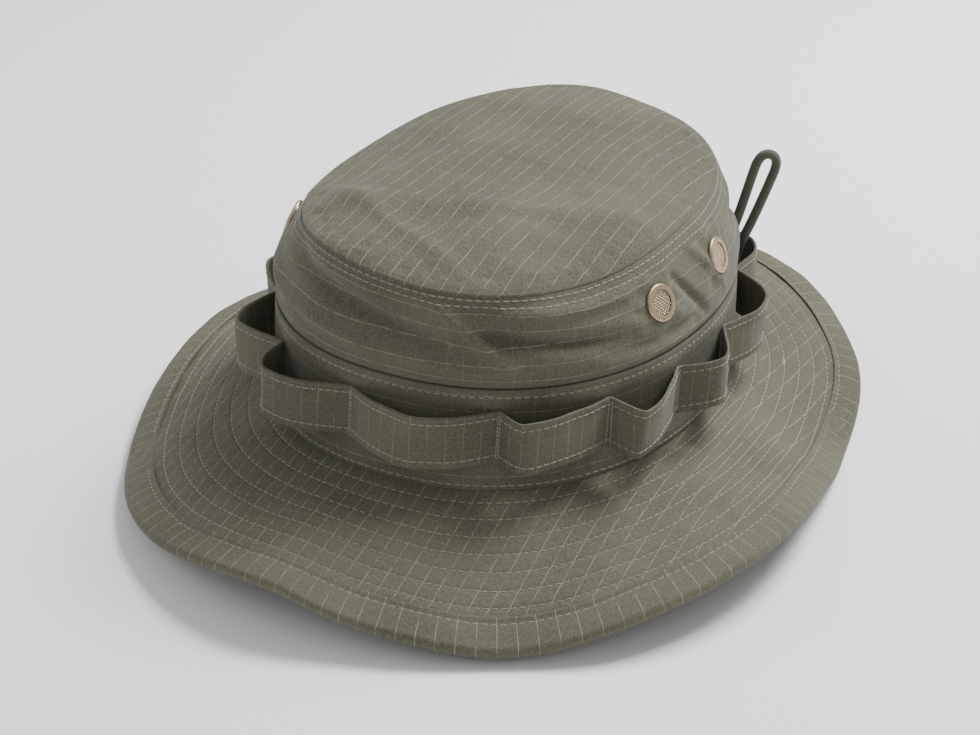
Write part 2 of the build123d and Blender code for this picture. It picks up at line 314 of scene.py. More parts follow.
def cap_ends(piece: bpy.types.Object) -> None:
    """Close the open ends of a tube.

    Args:
        piece: The tube.
    """
    bm = bmesh.new()
    bm.from_mesh(piece.data)
    bmesh.ops.holes_fill(bm, edges=[e for e in bm.edges if e.is_boundary], sides=0)
    bmesh.ops.recalc_face_normals(bm, faces=bm.faces)
    bm.to_mesh(piece.data)
    bm.free()


def thicken(piece: bpy.types.Object, thick: float, side: float = -1.0) -> None:
    """Give a sheet its thickness with a modifier.

    Args:
        piece: The sheet.
        thick: Thickness in millimetres.
        side: 1 to grow the way its faces look, -1 the other way, 0 both ways.
    """
    solid = piece.modifiers.new("thickness", "SOLIDIFY")
    solid.thickness = thick * MM
    solid.offset = side
    solid.use_even_offset = True
    solid.use_quality_normals = True


def settle(piece: bpy.types.Object, node: str, body: str = "hat") -> bpy.types.Object:
    """Let a piece ride on a body and stand for its node.

    Args:
        piece: The piece.
        node: The node it replaces, or an empty text.
        body: The body that carries it.

    Returns:
        The piece.
    """
    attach(piece, body)
    if node:
        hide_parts(node)
    LOG.info("%s: %d faces", piece.name, len(piece.data.polygons))
    return piece


def frames_along(points: Sequence[Vector], closed: bool) -> list[tuple[Vector, Vector]]:
    """Tangents with a steady sideways direction along a line.

    Args:
        points: The line.
        closed: Whether the last point meets the first.

    Returns:
        A (tangent, side) pair for each point.
    """
    count = len(points)
    pairs = []
    side = Vector((0.0, 0.0, 1.0))
    for i in range(count):
        ahead = points[(i + 1) % count] if closed or i + 1 < count else points[i]
        back = points[i - 1] if closed or i > 0 else points[i]
        tangent = (ahead - back).normalized()
        side = (side - tangent * side.dot(tangent)).normalized()
        pairs.append((tangent, side))
    return pairs


def reach(points: Sequence[Vector]) -> list[float]:
    """Measure a line.

    Args:
        points: Its points.

    Returns:
        The line's length up to each point.
    """
    reached = [0.0]
    for before, spot in zip(points, points[1:]):
        reached.append(reached[-1] + (spot - before).length)
    return reached


def even_places(reached: Sequence[float], count: int) -> list[float]:
    """Find places that lie evenly along a line.

    Args:
        reached: The line's length up to each of its points.
        count: Number of equal steps.

    Returns:
        A place for each step's end, counted in points, with a part of a step after the comma.
    """
    total = reached[-1]
    places, step = [], 0
    for i in range(count + 1):
        want = min(total * i / count, total * (1 - 1e-9))
        while reached[step + 1] < want:
            step += 1
        places.append(step + (want - reached[step]) / max(reached[step + 1] - reached[step], 1e-12))
    return places


def round_point(centre: Vector, across: Vector, over: Vector, turn: float, radius: float) -> Vector:
    """Place a point on a circle.

    Args:
        centre: The circle's middle.
        across: Direction at no turn.
        over: Direction at a quarter turn.
        turn: Angle in radians.
        radius: The circle's radius.

    Returns:
        The point.
    """
    return centre + (across * math.cos(turn) + over * math.sin(turn)) * radius


def dress(name: str, finish: bpy.types.Material) -> None:
    """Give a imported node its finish.

    Args:
        name: The node's name.
        finish: The material.
    """
    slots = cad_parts[name].data.materials
    slots.clear()
    slots.append(finish)


# ---- shaders ---------------------------------------------------------------------------------
class Wire:
    """A node socket that takes part in sums."""

    def __init__(self, graph: "Graph", socket: bpy.types.NodeSocket) -> None:
        """Keep the socket with its graph."""
        self.graph = graph
        self.socket = socket

    def _math(self, operation: str, *values: "Wire | float") -> "Wire":
        """Add one Math node."""
        sockets = dict(enumerate(values))
        return self.graph.node("ShaderNodeMath", {"operation": operation}, sockets)

    def __add__(self, other: "Wire | float") -> "Wire":
        """Sum."""
        return self._math("ADD", self, other)

    def __sub__(self, other: "Wire | float") -> "Wire":
        """Difference."""
        return self._math("SUBTRACT", self, other)

    def __rsub__(self, other: float) -> "Wire":
        """Difference from a number."""
        return self._math("SUBTRACT", other, self)

    def __mul__(self, other: "Wire | float") -> "Wire":
        """Product."""
        return self._math("MULTIPLY", self, other)

    def __truediv__(self, other: "Wire | float") -> "Wire":
        """Quotient."""
        return self._math("DIVIDE", self, other)

    __radd__ = __add__
    __rmul__ = __mul__

    def sine(self) -> "Wire":
        """Sine."""
        return self._math("SINE", self)

    def size(self) -> "Wire":
        """Value without its sign."""
        return self._math("ABSOLUTE", self)

    def fraction(self) -> "Wire":
        """Part after the point."""
        return self._math("FRACT", self)

    def step(self, low: float, high: float) -> "Wire":
        """Smooth step from 0 at low to 1 at high.

        Args:
            low: Value where the step starts.
            high: Value where it ends.

        Returns:
            The step.
        """
        return self.graph.node(
            "ShaderNodeMapRange", {"interpolation_type": "SMOOTHSTEP", "clamp": True},
            {"Value": self, "From Min": low, "From Max": high},
        )

    def line(self, pitch: float, half: float) -> "Wire":
        """Mask of lines at every pitch, half wide to each side."""
        away = ((self / pitch + 0.5).fraction() - 0.5).size() * pitch
        return 1.0 - away.step(half * 0.4, half)


class Graph:
    """A material's nodes."""

    def __init__(self, name: str) -> None:
        """Start an empty material.

        Args:
            name: The material's name.
        """
        self.material = bpy.data.materials.new(name)
        self.material.use_nodes = True
        self.tree = self.material.node_tree
        self.tree.nodes.clear()

    def node(self, kind: str, settings: dict, sockets: dict, output: int | str = 0) -> Wire:
        """Add a node.

        Args:
            kind: The node's type.
            settings: Its settings, set first.
            sockets: Values or wires by input.
            output: The output that is wanted.

        Returns:
            The output as a wire.
        """
        made = self.tree.nodes.new(kind)
        for key, value in settings.items():
            setattr(made, key, value)
        for key, value in sockets.items():
            if isinstance(value, Wire):
                self.tree.links.new(value.socket, made.inputs[key])
            else:
                made.inputs[key].default_value = value
        return Wire(self, made.outputs[output])

    def mix(self, factor: Wire | float, first: object, second: object) -> Wire:
        """Mix two colours; each is a wire or four numbers.

        Args:
            factor: Share of the second colour.
            first: The first colour.
            second: The second colour.

        Returns:
            The mixed colour.
        """
        return self.node(
            "ShaderNodeMix", {"data_type": "RGBA", "clamp_factor": True},
            {0: factor, 6: first, 7: second}, 2,
        )

    def cloth_uv(self) -> tuple[Wire, Wire, Wire]:
        """The cloth's own coordinates in millimetres: both together, along and across."""
        both = self.node("ShaderNodeUVMap", {"uv_map": "cloth"}, {})
        return both, *self.split(both)

    def split(self, vector: Wire) -> tuple[Wire, Wire]:
        """First two parts of a vector."""
        parts = self.node("ShaderNodeSeparateXYZ", {}, {0: vector})
        return parts, Wire(self, parts.socket.node.outputs[1])

    def join(self, x: Wire | float, y: Wire | float, z: Wire | float = 0.0) -> Wire:
        """Vector of three parts."""
        return self.node("ShaderNodeCombineXYZ", {}, {0: x, 1: y, 2: z})

    def noise(self, vector: Wire, scale: float, detail: float = 2.0, output: int = 0) -> Wire:
        """Noise about nought to one.

        Args:
            vector: Coordinates.
            scale: Scale on those coordinates.
            detail: Number of finer layers.
            output: 0 for the value, 1 for the colour.

        Returns:
            The output as a wire.
        """
        return self.node(
            "ShaderNodeTexNoise", {"noise_dimensions": "3D"},
            {"Vector": vector, "Scale": scale, "Detail": detail}, output,
        )

    def body(self) -> Wire:
        """Object coordinates."""
        return self.node("ShaderNodeTexCoord", {}, {}, "Object")

    def bump(self, height: Wire, depth: float) -> Wire:
        """Normal from a height of nought to one; depth in millimetres."""
        return self.node("ShaderNodeBump", {}, {"Height": height, "Distance": depth * MM, "Strength": 1.0})

    def finish(self, sockets: dict) -> bpy.types.Material:
        """Close the graph with a Principled shader.

        Args:
            sockets: Its values and wires.

        Returns:
            The material.
        """
        shader = self.node("ShaderNodeBsdfPrincipled", {}, sockets)
        self.node_output(shader)
        return self.material

    def node_output(self, shader: Wire) -> None:
        """Link a shader to the surface."""
        made = self.tree.nodes.new("ShaderNodeOutputMaterial")
        self.tree.links.new(shader.socket, made.inputs["Surface"])


Colour = tuple[float, float, float, float]


@dataclass(frozen=True)
class Ripstop:
    """Olive cloth with a grid of thicker yarn.

    Args:
        name: The material's name.
        base: Colour of the cloth.
        dark: Colour of its darker yarns.
        thread: Colour of the thicker yarn.
        pitch: Distance between the thicker yarns along and across, in millimetres.
        strength: How much each set of them shows.
    """

    name: str
    base: Colour = (0.128, 0.125, 0.088, 1.0)
    dark: Colour = (0.046, 0.046, 0.031, 1.0)
    thread: Colour = (0.27, 0.265, 0.20, 1.0)
    pitch: tuple[float, float] = (6.2, 6.2)
    strength: tuple[float, float] = (0.85, 0.2)

    def make(self) -> bpy.types.Material:
        """Build the material.

        Returns:
            The material.
        """
        g = Graph(self.name)
        both, along, across = g.cloth_uv()
        drift = g.noise(both, 0.02, 1.0) * 1.6
        along = along + drift
        across = across + drift
        uneven = g.noise(both, 0.16, 2.0).step(0.28, 0.62)
        lines_a = along.line(self.pitch[0], 0.24) * self.strength[0] * uneven
        lines_b = across.line(self.pitch[1], 0.22) * self.strength[1] * uneven
        yarn_a = g.noise(g.join(along * 3.4, across * 0.7), 1.0, 2.0)
        yarn_b = g.noise(g.join(along * 0.7, across * 3.4, 7.0), 1.0, 2.0)
        yarn = (yarn_a + yarn_b) * 0.5
        weave = (along * (math.tau / 0.62)).sine() * (across * (math.tau / 0.62)).sine()
        faded = g.noise(g.body(), 22.0, 3.0).step(0.3, 0.75)
        colour = g.mix(yarn.step(0.34, 0.66), self.dark, self.base)
        worn = tuple(c * 1.25 for c in self.base[:3]) + (1.0,)
        colour = g.mix(faded * 0.35, colour, worn)
        colour = g.mix(lines_a, colour, self.thread)
        colour = g.mix(lines_b, colour, self.thread)
        height = weave * 0.2 + yarn * 0.9 + lines_a * 0.9 + lines_b * 0.9
        return g.finish({
            "Base Color": colour, "Roughness": 0.78 + yarn * 0.18, "Normal": g.bump(height, 0.2),
            "Sheen Weight": 0.1, "Sheen Roughness": 0.4, "Specular IOR Level": 0.25,
        })


@dataclass(frozen=True)
class PlainCloth:
    """Plain-woven tape or canvas of one colour."""

    name: str
    base: Colour
    pitch: float = 0.9
    sheen: float = 0.15

    def make(self) -> bpy.types.Material:
        """Build the material.

        Returns:
            The material.
        """
        g = Graph(self.name)
        both, along, across = g.cloth_uv()
        weave = (along * (math.tau / self.pitch)).sine() * (across * (math.tau / self.pitch)).sine()
        mottle = g.noise(both, 0.9, 3.0)
        dark = tuple(c * 0.62 for c in self.base[:3]) + (1.0,)
        colour = g.mix((mottle + weave * 0.25).step(0.2, 0.75), dark, self.base)
        return g.finish({
            "Base Color": colour, "Roughness": 0.8 + mottle * 0.15,
            "Normal": g.bump(weave * 0.5 + mottle, 0.14), "Sheen Weight": self.sheen,
            "Specular IOR Level": 0.25,
        })


@dataclass(frozen=True)
class Thread:
    """Twisted sewing thread."""

    name: str
    base: Colour = (0.30, 0.29, 0.22, 1.0)

    def make(self) -> bpy.types.Material:
        """Build the material.

        Returns:
            The material.
        """
        g = Graph(self.name)
        _, along, across = g.cloth_uv()
        twist = (along * 7.0 + across * math.tau).sine() * 0.5 + 0.5
        dark = tuple(c * 0.5 for c in self.base[:3]) + (1.0,)
        return g.finish({
            "Base Color": g.mix(twist, dark, self.base), "Roughness": 0.55 + twist * 0.1,
            "Normal": g.bump(twist, 0.08), "Sheen Weight": 0.2,
        })


@dataclass(frozen=True)
class AgedBrass:
    """Antique brass, darker in random patches."""

    name: str
    bright: Colour = (0.50, 0.39, 0.25, 1.0)
    dark: Colour = (0.24, 0.18, 0.11, 1.0)

    def make(self) -> bpy.types.Material:
        """Build the material.

        Returns:
            The material.
        """
        g = Graph(self.name)
        spot = g.body()
        worn = g.noise(spot, 1300.0, 4.0).step(0.25, 0.6)
        fine = g.noise(spot, 2600.0, 2.0)
        return g.finish({
            "Base Color": g.mix(worn, self.dark, self.bright), "Metallic": 1.0,
            "Roughness": 0.5 - worn * 0.18 + fine * 0.1, "Normal": g.bump(worn * 0.6 + fine * 0.4, 0.012),
        })


@dataclass(frozen=True)
class MouldedPlastic:
    """Matt moulded nylon."""

    name: str
    base: Colour = (0.028, 0.028, 0.021, 1.0)

    def make(self) -> bpy.types.Material:
        """Build the material.

        Returns:
            The material.
        """
        g = Graph(self.name)
        grain = g.noise(g.body(), 1500.0, 3.0)
        light = tuple(c * 1.5 for c in self.base[:3]) + (1.0,)
        return g.finish({
            "Base Color": g.mix(grain, self.base, light), "Roughness": 0.42 + grain * 0.2,
            "Normal": g.bump(grain, 0.06),
        })


@dataclass(frozen=True)
class SpringSteel:
    """Bright drawn wire."""

    name: str

    def make(self) -> bpy.types.Material:
        """Build the material.

        Returns:
            The material.
        """
        g = Graph(self.name)
        drawn = g.noise(g.body(), 900.0, 2.0)
        return g.finish({
            "Base Color": g.mix(drawn, (0.35, 0.35, 0.36, 1.0), (0.6, 0.6, 0.62, 1.0)),
            "Metallic": 1.0, "Roughness": 0.25 + drawn * 0.2,
        })


@dataclass
class Finishes:
    """Every material of the hat."""

    crown: bpy.types.Material = field(default_factory=Ripstop("crown cloth").make)
    side: bpy.types.Material = field(
        default_factory=Ripstop("side cloth", pitch=(6.2, 6.4), strength=(0.2, 0.7)).make)
    brim: bpy.types.Material = field(default_factory=Ripstop("brim cloth", strength=(0.8, 0.2)).make)
    tape: bpy.types.Material = field(
        default_factory=Ripstop("tape cloth", pitch=(7.0, 6.5), strength=(0.45, 0.15)).make)
    binding: bpy.types.Material = field(
        default_factory=Ripstop("binding cloth", pitch=(7.0, 50.0), strength=(0.85, 0.0)).make)
    lining: bpy.types.Material = field(
        default_factory=PlainCloth("lining cloth", (0.085, 0.083, 0.06, 1.0)).make)
    canvas: bpy.types.Material = field(
        default_factory=PlainCloth("canvas", (0.45, 0.42, 0.34, 1.0), 1.2).make)
    label: bpy.types.Material = field(
        default_factory=PlainCloth("label cloth", (0.62, 0.61, 0.56, 1.0), 0.5).make)
    thread: bpy.types.Material = field(default_factory=Thread("khaki thread").make)
    cord: bpy.types.Material = field(
        default_factory=PlainCloth("cord yarn", (0.10, 0.098, 0.072, 1.0), 0.7, 0.3).make)
    brass: bpy.types.Material = field(default_factory=AgedBrass("aged brass").make)
    mesh: bpy.types.Material = field(
        default_factory=AgedBrass("brass wire", (0.62, 0.52, 0.40, 1.0), (0.46, 0.37, 0.27, 1.0)).make)
    plastic: bpy.types.Material = field(default_factory=MouldedPlastic("olive nylon").make)
    steel: bpy.types.Material = field(default_factory=SpringSteel("spring wire").make)


# ---- stitching -------------------------------------------------------------------------------
@dataclass
class Seam:
    """A row of lock stitches whose thread dives into the cloth between them.

    Args:
        name: The piece's name.
        spot: Gives a point on the cloth's face for a share of the row.
        lift: Gives the direction out of the cloth for the same share.
        closed: Whether the row meets itself.
        stitch: Stitch length in millimetres.
        thick: Thread radius in millimetres.
    """

    name: str
    spot: Callable[[float], Vector]
    lift: Callable[[float], Vector]
    closed: bool = True
    stitch: float = 3.3
    thick: float = 0.27
    steps: int = 5
    sides: int = 5

    def make(self, finish: bpy.types.Material) -> bpy.types.Object:
        """Build the row as one waving thread.

        Args:
            finish: The thread's material.

        Returns:
            The object.
        """
        samples = 400
        reached = reach([self.spot(i / samples) for i in range(samples + 1)])
        length = reached[-1]
        stitches = max(2, round(length / self.stitch))
        count = stitches * self.steps
        shares = [place / samples for place in even_places(reached, count)]
        middle = [self.spot(share) for share in shares]
        ups = [self.lift(share).normalized() for share in shares]
        tangents = [pair[0] for pair in frames_along(middle, False)]
        if self.closed:
            tangents[-1] = tangents[0] = (middle[1] - middle[-2]).normalized()

        def ring(u: float, v: float) -> Vector:
            """Point on the thread's skin.

            Args:
                u: Share along the thread.
                v: Share round it.

            Returns:
                The point in millimetres.
            """
            i = round(u * count)
            part = (i % self.steps) / self.steps
            rise = math.sin(math.pi * part) ** 0.6 if 0 < part < 1 else 0.0
            radius = self.thick * (0.55 + 0.45 * rise)
            centre = middle[i] + ups[i] * (self.thick * (1.5 * rise - 1.25))
            sideways = ups[i].cross(tangents[i]).normalized()
            return round_point(centre, sideways, ups[i], v * math.tau, radius)

        close = Close.TORUS if self.closed else Close.TUBE
        piece = make_sheet(
            self.name, (count, self.sides), ring, lambda u, v: (u * length, v), finish, close)
        if not self.closed:
            cap_ends(piece)
        return piece


def join_pieces(name: str, pieces: Sequence[bpy.types.Object]) -> bpy.types.Object:
    """Join meshes of one material into one piece.

    Args:
        name: Name of the joined piece.
        pieces: The meshes; they are removed.

    Returns:
        The joined object.
    """
    bm = bmesh.new()
    for piece in pieces:
        bm.from_mesh(piece.data)
    finish = pieces[0].data.materials[0]
    for piece in pieces:
        bpy.data.objects.remove(piece, do_unlink=True)
    return make_object(name, bm, finish)


# ---- crown -----------------------------------------------------------------------------------
@dataclass(frozen=True)
class Fold:
    """A soft ridge or valley of the crown's side.

    Args:
        start: Angle and height where it starts.
        end: Angle and height where it ends.
        wide: Half width across it, in millimetres.
        deep: Height of the ridge; a valley's is negative.
    """

    start: tuple[float, float]
    end: tuple[float, float]
    wide: float
    deep: float

    def at(self, angle: float, height: float) -> float:
        """Distance that the fold moves the cloth outwards.

        Args:
            angle: Angle round the crown.
            height: Height above the seam.

        Returns:
            The distance in millimetres.
        """
        around = 1.6
        ax, ay = self.start[0] * around, self.start[1]
        bx, by = self.end[0] * around, self.end[1]
        px, py = angle * around, height
        dx, dy = bx - ax, by - ay
        share = ((px - ax) * dx + (py - ay) * dy) / (dx * dx + dy * dy)
        held = min(max(share, 0.0), 1.0)
        across = math.hypot(px - ax - dx * held, py - ay - dy * held)
        taper = 1.0 - 0.55 * abs(2.0 * held - 1.0) ** 2
        return 1.35 * self.deep * taper * bell(across / self.wide)


@dataclass
class Crown:
    """Top panel, side panel and lower band of the crown."""

    finishes: Finishes
    folds: tuple[Fold, ...] = (
        Fold((236, 66), (284, 57), 7.0, -3.4),
        Fold((238, 52), (300, 47), 8.0, 2.4),
        Fold((284, 71), (300, 50), 6.0, 2.6),
        Fold((290, 62), (330, 54), 6.5, -3.2),
        Fold((300, 70), (338, 69), 5.0, 1.6),
        Fold((322, 50), (352, 47), 5.5, -1.8),
        Fold((210, 60), (236, 50), 8.0, 1.8),
        Fold((346, 66), (356, 47), 4.0, -1.8),
        Fold((-4, 70), (8, 48), 4.5, 1.4),
        Fold((22, 62), (60, 55), 7.0, -2.6),
        Fold((60, 70), (84, 50), 6.0, 2.0),
        Fold((92, 62), (136, 54), 7.0, -2.8),
        Fold((140, 68), (158, 48), 6.0, 2.0),
        Fold((166, 50), (204, 60), 6.0, -2.0),
    )
    vents: tuple[tuple[float, float], ...] = ((339.3, 60.8), (5.9, 60.8), (174.1, 60.8), (200.7, 60.8))

    def sag(self, angle: float, height: float) -> float:
        """How far the side panel stands out from its even shape.

        Args:
            angle: Angle round the crown.
            height: Height above the seam.

        Returns:
            The distance in millimetres.
        """
        turn = angle % 360
        free = min(1.0, max(0.0, (height - BAND_HEIGHT) / 6.0)) * min(1.0, (TOP_SEAM - height) / 5.0)
        total = sum(f.at(turn + wrap, height) for f in self.folds for wrap in (-360, 0))
        total += rumple(crown_point(angle, height), 26.0, 1.5)
        total += rumple(crown_point(angle, height), 9.0, 0.45)
        for spot, level in self.vents:
            away = math.hypot((((turn - spot + 180) % 360) - 180) * 1.55, height - level)
            pinch = 0.5 * math.cos(7 * math.atan2(height - level, ((turn - spot + 180) % 360) - 180))
            total = total * (1 - bell(away / 15.0)) + pinch * bell((away - 10.5) / 5.0)
        return total * max(free, 0.0)

    def side_point(self, angle: float, height: float, out: float = 0.0) -> Vector:
        """Point on the side panel with its folds."""
        return crown_point(angle, height, self.sag(angle, height) + out)

    def make_side(self) -> bpy.types.Object:
        """Side panel from behind the band to the top seam.

        Returns:
            The piece.
        """
        low, high = SIDE_LOW, TOP_SEAM + 0.6

        def place(u: float, v: float) -> Vector:
            """Face of the panel; it tucks in behind the band and over at the seam.

            Args:
                u: Share round the crown.
                v: Share up the panel.

            Returns:
                The point in millimetres.
            """
            height = low + (high - low) * v
            behind = 1.5 * (1 - min(1.0, max(0.0, (height - BAND_HEIGHT + 0.5) / 4.0))) ** 2
            roll = 1.1 * max(0.0, (height - TOP_SEAM + 1.2) / 1.8) ** 2
            return self.side_point(u * 360, min(height, TOP_SEAM), -behind - roll)

        panel = make_sheet(
            "crown_side_cloth", (620, 84), place, lambda u, v: (u * SIDE_ROUND, low + (high - low) * v),
            self.finishes.side)
        thicken(panel, CLOTH)
        return settle(panel, "crown_side")

    def dome_point(self, angle: float, share: float, up: float = 0.0) -> Vector:
        """Point on the crown top, share 1 at its seam and 0 in the middle.

        Args:
            angle: Angle round the crown.
            share: How far out.
            up: Height above the cloth.

        Returns:
            The point in millimetres.
        """
        edge = crown_point(angle, TOP_SEAM)
        middle = CENTRE + Vector((0.0, CROWN_PROFILE[-1][3], TOP_SEAM))
        spot = middle + (edge - middle) * share
        level = middle.z + (edge.z - middle.z) * share**3
        lift = DOME_RISE * (1 - share**5)
        x, y = spot.x - middle.x, spot.y - middle.y
        free = 1 - share**8
        dips = (
            -3.4 * bell(math.hypot(x + 6, y + 52) / 34) - 2.6 * bell(math.hypot(x - 22, (y + 8) * 0.8) / 30)
            + 1.7 * bell((x * 0.5 + y + 74) / 10) + 1.4 * bell((x * 0.35 - y - 40) / 16)
            - 1.8 * bell((x - 0.3 * y + 44) / 14) - 1.5 * bell(math.hypot(x - 38, y + 58) / 16)
        )
        dips += rumple(spot, 34.0, 2.2) + rumple(spot, 11.0, 0.6)
        pucker = rumple(spot, 4.5, 0.9) * bell((share - 0.93) / 0.08)
        return Vector((spot.x, spot.y, level + lift + free * dips + pucker + up))

    def make_top(self) -> bpy.types.Object:
        """Oval top panel, turned down at its seam.

        Returns:
            The piece.
        """
        face = 0.94

        def place(u: float, v: float) -> Vector:
            """Face of the panel, from the middle out and down to the seam.

            Args:
                u: Share round the crown.
                v: Share of the way out and down.

            Returns:
                The point in millimetres.
            """
            angle = u * 360
            if v <= face:
                return self.dome_point(angle, 0.988 * v / face, CLOTH)
            turn = (v - face) / (1 - face)
            rim = self.dome_point(angle, 1.0, 0.0)
            normal = oval_normal(angle, 73, 96)
            return rim + normal * (-0.9 + 1.0 * math.sin(turn * math.pi * 0.75)) + Vector(
                (0.0, 0.0, CLOTH - 0.1 - 1.5 * turn**1.5))

        def spread(u: float, v: float) -> tuple[float, float]:
            """The flat panel's coordinates."""
            spot = self.dome_point(u * 360, v)
            return spot.x - CENTRE.x, spot.y - CENTRE.y

        panel = make_sheet("crown_top_cloth", (420, 110), place, spread, self.finishes.crown)
        thicken(panel, CLOTH * 0.9, 1.0)
        return settle(panel, "crown_top")

    def make_band(self) -> bpy.types.Object:
        """Lower band with its folded upper edge.

        Returns:
            The piece.
        """
        face, fold = 0.86, 0.7

        def place(u: float, v: float) -> Vector:
            """Outer face, then over the fold and down behind.

            Args:
                u: Share round the crown.
                v: Share of the way up and over the fold.

            Returns:
                The point in millimetres.
            """
            angle = u * 360
            if v < face:
                height = 0.2 + (BAND_HEIGHT - 0.2 - fold) * v / face
                ease = rumple(crown_point(angle, height), 20.0, 0.5) * math.sin(math.pi * v / face)
                hug = -0.35 * bell((height - BAND_HEIGHT + BAND_ROW_DROP) / 1.2)
                return crown_point(angle, height, ease + hug)
            turn = (v - face) / (1 - face) * math.pi
            return crown_point(
                angle, BAND_HEIGHT - fold + fold * math.sin(turn), -0.6 + 0.6 * math.cos(turn))

        panel = make_sheet(
            "crown_band_cloth", (420, 48), place, lambda u, v: (u * BAND_ROUND, BAND_CUT * v),
            self.finishes.side)
        thicken(panel, 0.5)
        return settle(panel, "crown_band")

    def make_stitching(self) -> None:
        """Rows along the top seam and the band's fold."""

        def out_of_side(share: float) -> Vector:
            """Direction out of the side panel."""
            return oval_normal(share * 360, 75, 96) + Vector((0, 0, 0.45))

        rows = [
            Seam(f"side_row_{i}", lambda s, h=height: self.side_point(s * 360, h), out_of_side).make(
                self.finishes.thread)
            for i, height in enumerate(TOP_SEAM - drop for drop in SEAM_ROW_DROPS)
        ]
        rows.append(Seam(
            "band_row", lambda s: crown_point(s * 360, BAND_HEIGHT - BAND_ROW_DROP, -0.3),
            lambda s: oval_normal(s * 360, 87, 97)).make(self.finishes.thread))
        rows.append(Seam(
            "base_row", lambda s: crown_point(s * 360, 2.2, 0.0),
            lambda s: oval_normal(s * 360, 86, 101)).make(self.finishes.thread))
        settle(join_pieces("crown_stitching", rows), "")

    def make(self) -> None:
        """Build the crown."""
        self.make_top()
        self.make_side()
        self.make_band()
        self.make_stitching()


# ---- brim ------------------------------------------------------------------------------------
@dataclass
class Brim:
    """The brim's upper and lower cloth, its bound edge and its stitching."""

    finishes: Finishes
    rows: tuple[float, ...] = (5.0, 12.2, 19.6, 27.0, 34.4, 41.8, 48.6)
    stack: float = 2.3

    def quilt(self, angle: float, flat: float) -> float:
        """Puff the cloth between its rows of stitching.

        Args:
            angle: Angle round the brim.
            flat: Distance out from the crown seam.

        Returns:
            Height above the even brim, in millimetres.
        """
        scale = between(BRIM_KEYS, angle, 2) / BRIM_WIDTH
        puff = 0.30 - sum(0.36 * bell((flat - row * scale) / 1.5) for row in self.rows)
        spot = brim_point(angle, flat)
        return puff + rumple(spot, 30.0, 0.9) * min(1.0, flat / 12.0) + rumple(spot, 8.0, 0.25)

    def covered_at(self, angle: float) -> float:
        """Flat distance at which the binding covers the cloth."""
        return between(BRIM_KEYS, angle, 2) - 3.2

    def make_faces(self) -> None:
        """Upper and lower cloth."""
        tuck = 3.0

        def top(u: float, v: float) -> Vector:
            """Point on the upper face."""
            flat = (self.covered_at(u * 360) + tuck) * v - tuck
            return brim_point(u * 360, flat, self.quilt(u * 360, flat) - 0.05)

        def under(u: float, v: float) -> Vector:
            """Point on the lower face."""
            flat = (self.covered_at(u * 360) + tuck) * (1 - v) - tuck
            return brim_point(u * 360, flat, -self.stack + 0.05 - 0.4 * self.quilt(u * 360, flat))

        for name, node, place in (
            ("brim_top_cloth", "brim_top", top), ("brim_under_cloth", "brim_underside", under),
        ):
            def spread(u: float, v: float, rule: Place = place) -> tuple[float, float]:
                """Plan coordinates, as the cloth was cut."""
                spot = rule(u, v)
                return spot.x - CENTRE.x, spot.y - CENTRE.y

            piece = make_sheet(name, (540, 110), place, spread, self.finishes.brim)
            thicken(piece, 0.6, 1.0)
            settle(piece, node)

    def binding_point(self, angle: float, share: float) -> Vector:
        """Point round the bound edge's section.

        Args:
            angle: Angle round the brim.
            share: 0 at its upper inner edge, 1 at its lower one.

        Returns:
            The point in millimetres.
        """
        width = between(BRIM_KEYS, angle, 2)
        over, under, half, around = 0.7, 1.4, self.stack / 2, 4.2
        way = share * (2 * BINDING + around)
        if way < BINDING:
            inset, up = BINDING - way, over
        elif way > BINDING + around:
            inset, up = way - BINDING - around, -self.stack - under
        else:
            turn = (way - BINDING) / around * math.pi
            inset = -1.4 * math.sin(turn)
            up = -half + (half + (over if turn < math.pi / 2 else under)) * math.cos(turn)
        lip = 0.55 * bell((inset - BINDING + 0.7) / 0.9) - 0.35 * bell((inset - BINDING + 2.6) / 0.8)
        soft = rumple(brim_point(angle, width - inset), 14.0, 0.5)
        lip += 0.2 * bell((inset - 5) / 5)
        return brim_point(angle, width - inset - 1.8, up + (lip if share < 0.5 else -lip) + soft)

    def make_binding(self) -> None:
        """Folded tape round the edge."""
        piece = make_sheet(
            "brim_binding_cloth", (640, 46), lambda u, v: self.binding_point(u * 360, v),
            lambda u, v: (u * BINDING_ROUND, v * BINDING_CUT), self.finishes.binding)
        thicken(piece, 0.5, 1.0)
        settle(piece, "brim_binding")

    def make_stitching(self) -> None:
        """Concentric rows and the binding's row."""

        def up(share: float) -> Vector:
            """Direction out of the brim.

            Args:
                share: Share of the way round.

            Returns:
                The direction.
            """
            spot = brim_point(share * 360, 30)
            outward = brim_point(share * 360, 31) - spot
            along = brim_point(share * 360 - 0.5, 30) - spot
            return along.cross(outward)

        def row_spot(row: float) -> Callable[[float], Vector]:
            """Rule for a row's points.

            Args:
                row: The row's distance out from the seam where the brim is BRIM_WIDTH wide.

            Returns:
                A rule that gives the point for a share of the way round.
            """

            def spot(share: float) -> Vector:
                """Point of the row for a share of the way round."""
                flat = row * between(BRIM_KEYS, share * 360, 2) / BRIM_WIDTH
                return brim_point(share * 360, flat, self.quilt(share * 360, flat) - 0.02)

            return spot

        inner = [Seam(f"row_{i}", row_spot(row), up).make(self.finishes.thread)
                 for i, row in enumerate(self.rows)]
        edge = [Seam("edge_row", lambda s: self.binding_point(s * 360, 0.092), up).make(
            self.finishes.thread)]
        for i, rows in enumerate((inner[:4], inner[4:] + edge)):
            settle(join_pieces(f"brim_stitching_{i + 1}", rows), "")

    def make(self) -> None:
        """Build the brim."""
        self.make_faces()
        self.make_binding()
        self.make_stitching()
        dress("brim_interlining", self.finishes.canvas)


